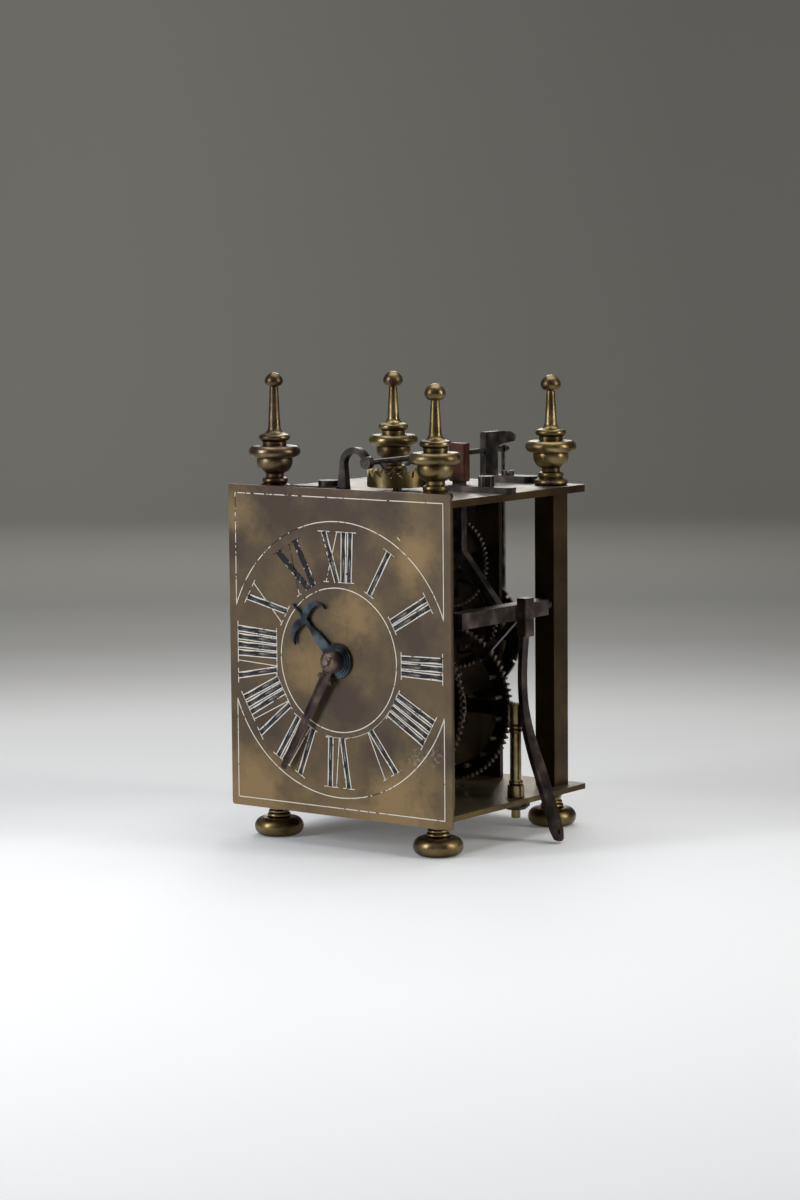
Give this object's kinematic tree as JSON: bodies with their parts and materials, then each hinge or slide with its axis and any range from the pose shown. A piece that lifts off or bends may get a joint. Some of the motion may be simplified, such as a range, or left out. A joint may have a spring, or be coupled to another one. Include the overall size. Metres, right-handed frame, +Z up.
{
  "type": "lantern clock",
  "caption": "Small brass lantern clock movement: square dial, pillared cage with turned finials and feet, open going and strike trains, verge escapement and short pendulum.",
  "frame": {"origin": "on the floor under the middle of the square cage, midway between the four feet", "axes": "+Z up, the dial faces -Y, +X to the right of someone who faces the dial"},
  "size_m": [0.166, 0.1666, 0.2562],
  "materials": {
    "aged_brass": "aged brass, darkened, brushed",
    "dial_brass": "patinated sheet brass with wax-filled engraving",
    "turned_brass": "turned and polished aged brass",
    "wheel_brass": "cut brass wheel, dull",
    "forged_iron": "hammered forged iron, dark brown",
    "steel_arbor": "turned steel, dull",
    "blued_steel": "blued steel hand, worn",
    "copper_nut": "copper-brown turned nut"
  },
  "bodies": {
    "cage": {"bottom_plate": "aged_brass", "top_plate": "aged_brass", "pillars": "aged_brass", "feet": "turned_brass", "slim_finial": "turned_brass", "finials": "turned_brass", "dial_plate": "dial_brass", "front_bar": "aged_brass", "middle_bar": "aged_brass", "rear_bar": "aged_brass", "crown_cock": "wheel_brass", "hook_cock": "forged_iron", "back_cock": "forged_iron", "cock_screws": "forged_iron", "stop_bar": "forged_iron", "stop_bar_screw": "forged_iron", "banking_post": "turned_brass", "banking_post_nut": "forged_iron", "motion_stud": "steel_arbor", "count_stud": "steel_arbor"},
    "going_great": {"going_great_arbor": "steel_arbor", "going_great_wheel": "wheel_brass", "going_pulley": "wheel_brass", "going_click": "steel_arbor", "minute_drive_gear": "wheel_brass"},
    "second": {"second_arbor": "steel_arbor", "second_wheel": "wheel_brass"},
    "contrate": {"contrate_arbor": "steel_arbor", "contrate_wheel": "wheel_brass"},
    "crown": {"crown_arbor": "steel_arbor", "crown_wheel": "wheel_brass"},
    "verge": {"verge_arbor": "steel_arbor", "pendulum_rod": "steel_arbor", "pendulum_bob": "wheel_brass"},
    "minute": {"minute_arbor": "steel_arbor", "minute_gear": "wheel_brass", "minute_hand": "blued_steel", "hand_nut": "copper_nut", "hand_pin": "steel_arbor"},
    "motion": {"motion_wheel": "wheel_brass"},
    "hour": {"hour_wheel": "wheel_brass", "hour_hand": "blued_steel"},
    "strike_great": {"strike_great_arbor": "steel_arbor", "strike_great_wheel": "wheel_brass", "hammer_pins": "steel_arbor", "strike_pulley": "wheel_brass", "strike_click": "steel_arbor", "report_pinion": "wheel_brass"},
    "hoop": {"hoop_arbor": "steel_arbor", "hoop_wheel": "wheel_brass"},
    "warning": {"warning_arbor": "steel_arbor", "warning_wheel": "wheel_brass"},
    "fly": {"fly_arbor": "steel_arbor", "fly_vane": "wheel_brass"},
    "count": {"count_wheel": "wheel_brass"},
    "hammer": {"hammer_arbor": "forged_iron", "hammer_stem": "forged_iron", "hammer_strap": "forged_iron"},
    "locking": {"locking_lever": "forged_iron"}
  },
  "joints": [
    {"name": "going_spin", "type": "hinge", "parent": "cage", "child": "going_great", "pos_m": [0, -0.027, 0.0745], "axis": [0, 1, 0], "continuous": true},
    {"name": "second_spin", "type": "hinge", "parent": "cage", "child": "second", "pos_m": [0, -0.027, 0.1245], "axis": [0, 1, 0], "continuous": true},
    {"name": "contrate_spin", "type": "hinge", "parent": "cage", "child": "contrate", "pos_m": [0.008, -0.027, 0.14713], "axis": [0, 1, 0], "continuous": true},
    {"name": "crown_spin", "type": "hinge", "parent": "cage", "child": "crown", "pos_m": [0.008, -0.026, 0.19], "axis": [0, 0, 1], "continuous": true},
    {"name": "minute_spin", "type": "hinge", "parent": "cage", "child": "minute", "pos_m": [0, -0.065, 0.103], "axis": [0, 1, 0], "continuous": true},
    {"name": "motion_spin", "type": "hinge", "parent": "cage", "child": "motion", "pos_m": [0.01273, -0.065, 0.11573], "axis": [0, 1, 0], "continuous": true},
    {"name": "hour_spin", "type": "hinge", "parent": "cage", "child": "hour", "pos_m": [0, -0.067, 0.103], "axis": [0, 1, 0], "continuous": true},
    {"name": "strike_spin", "type": "hinge", "parent": "cage", "child": "strike_great", "pos_m": [0, 0.03, 0.068], "axis": [0, 1, 0], "continuous": true},
    {"name": "hoop_spin", "type": "hinge", "parent": "cage", "child": "hoop", "pos_m": [0, 0.03, 0.1158], "axis": [0, 1, 0], "continuous": true},
    {"name": "warning_spin", "type": "hinge", "parent": "cage", "child": "warning", "pos_m": [0, 0.03, 0.148], "axis": [0, 1, 0], "continuous": true},
    {"name": "fly_spin", "type": "hinge", "parent": "cage", "child": "fly", "pos_m": [0, 0.03, 0.1771], "axis": [0, 1, 0], "continuous": true},
    {"name": "count_spin", "type": "hinge", "parent": "cage", "child": "count", "pos_m": [-0.005, 0.061, 0.1045], "axis": [0, 1, 0], "continuous": true},
    {"name": "verge_swing", "type": "hinge", "parent": "cage", "child": "verge", "pos_m": [0.008, 0.01, 0.2089], "axis": [0, 1, 0], "range_deg": [-8, 8]},
    {"name": "hammer_lift", "type": "hinge", "parent": "cage", "child": "hammer", "pos_m": [0.0575, 0, 0.1255], "axis": [0, -1, 0], "range_deg": [0, 6]},
    {"name": "locking_lift", "type": "hinge", "parent": "cage", "child": "locking", "pos_m": [-0.0545, 0, 0.135], "axis": [0, -1, 0], "range_deg": [0, 5]}
  ],
  "couplings": [
    {"joint": "second_spin", "follows": "going_spin", "ratio": -10},
    {"joint": "contrate_spin", "follows": "going_spin", "ratio": 60},
    {"joint": "crown_spin", "follows": "going_spin", "ratio": 300},
    {"joint": "minute_spin", "follows": "going_spin", "ratio": -1},
    {"joint": "motion_spin", "follows": "going_spin", "ratio": 0.33333},
    {"joint": "hour_spin", "follows": "going_spin", "ratio": -0.083333},
    {"joint": "hoop_spin", "follows": "strike_spin", "ratio": -10},
    {"joint": "warning_spin", "follows": "strike_spin", "ratio": 70},
    {"joint": "fly_spin", "follows": "strike_spin", "ratio": -490},
    {"joint": "count_spin", "follows": "strike_spin", "ratio": -0.25641}
  ]
}
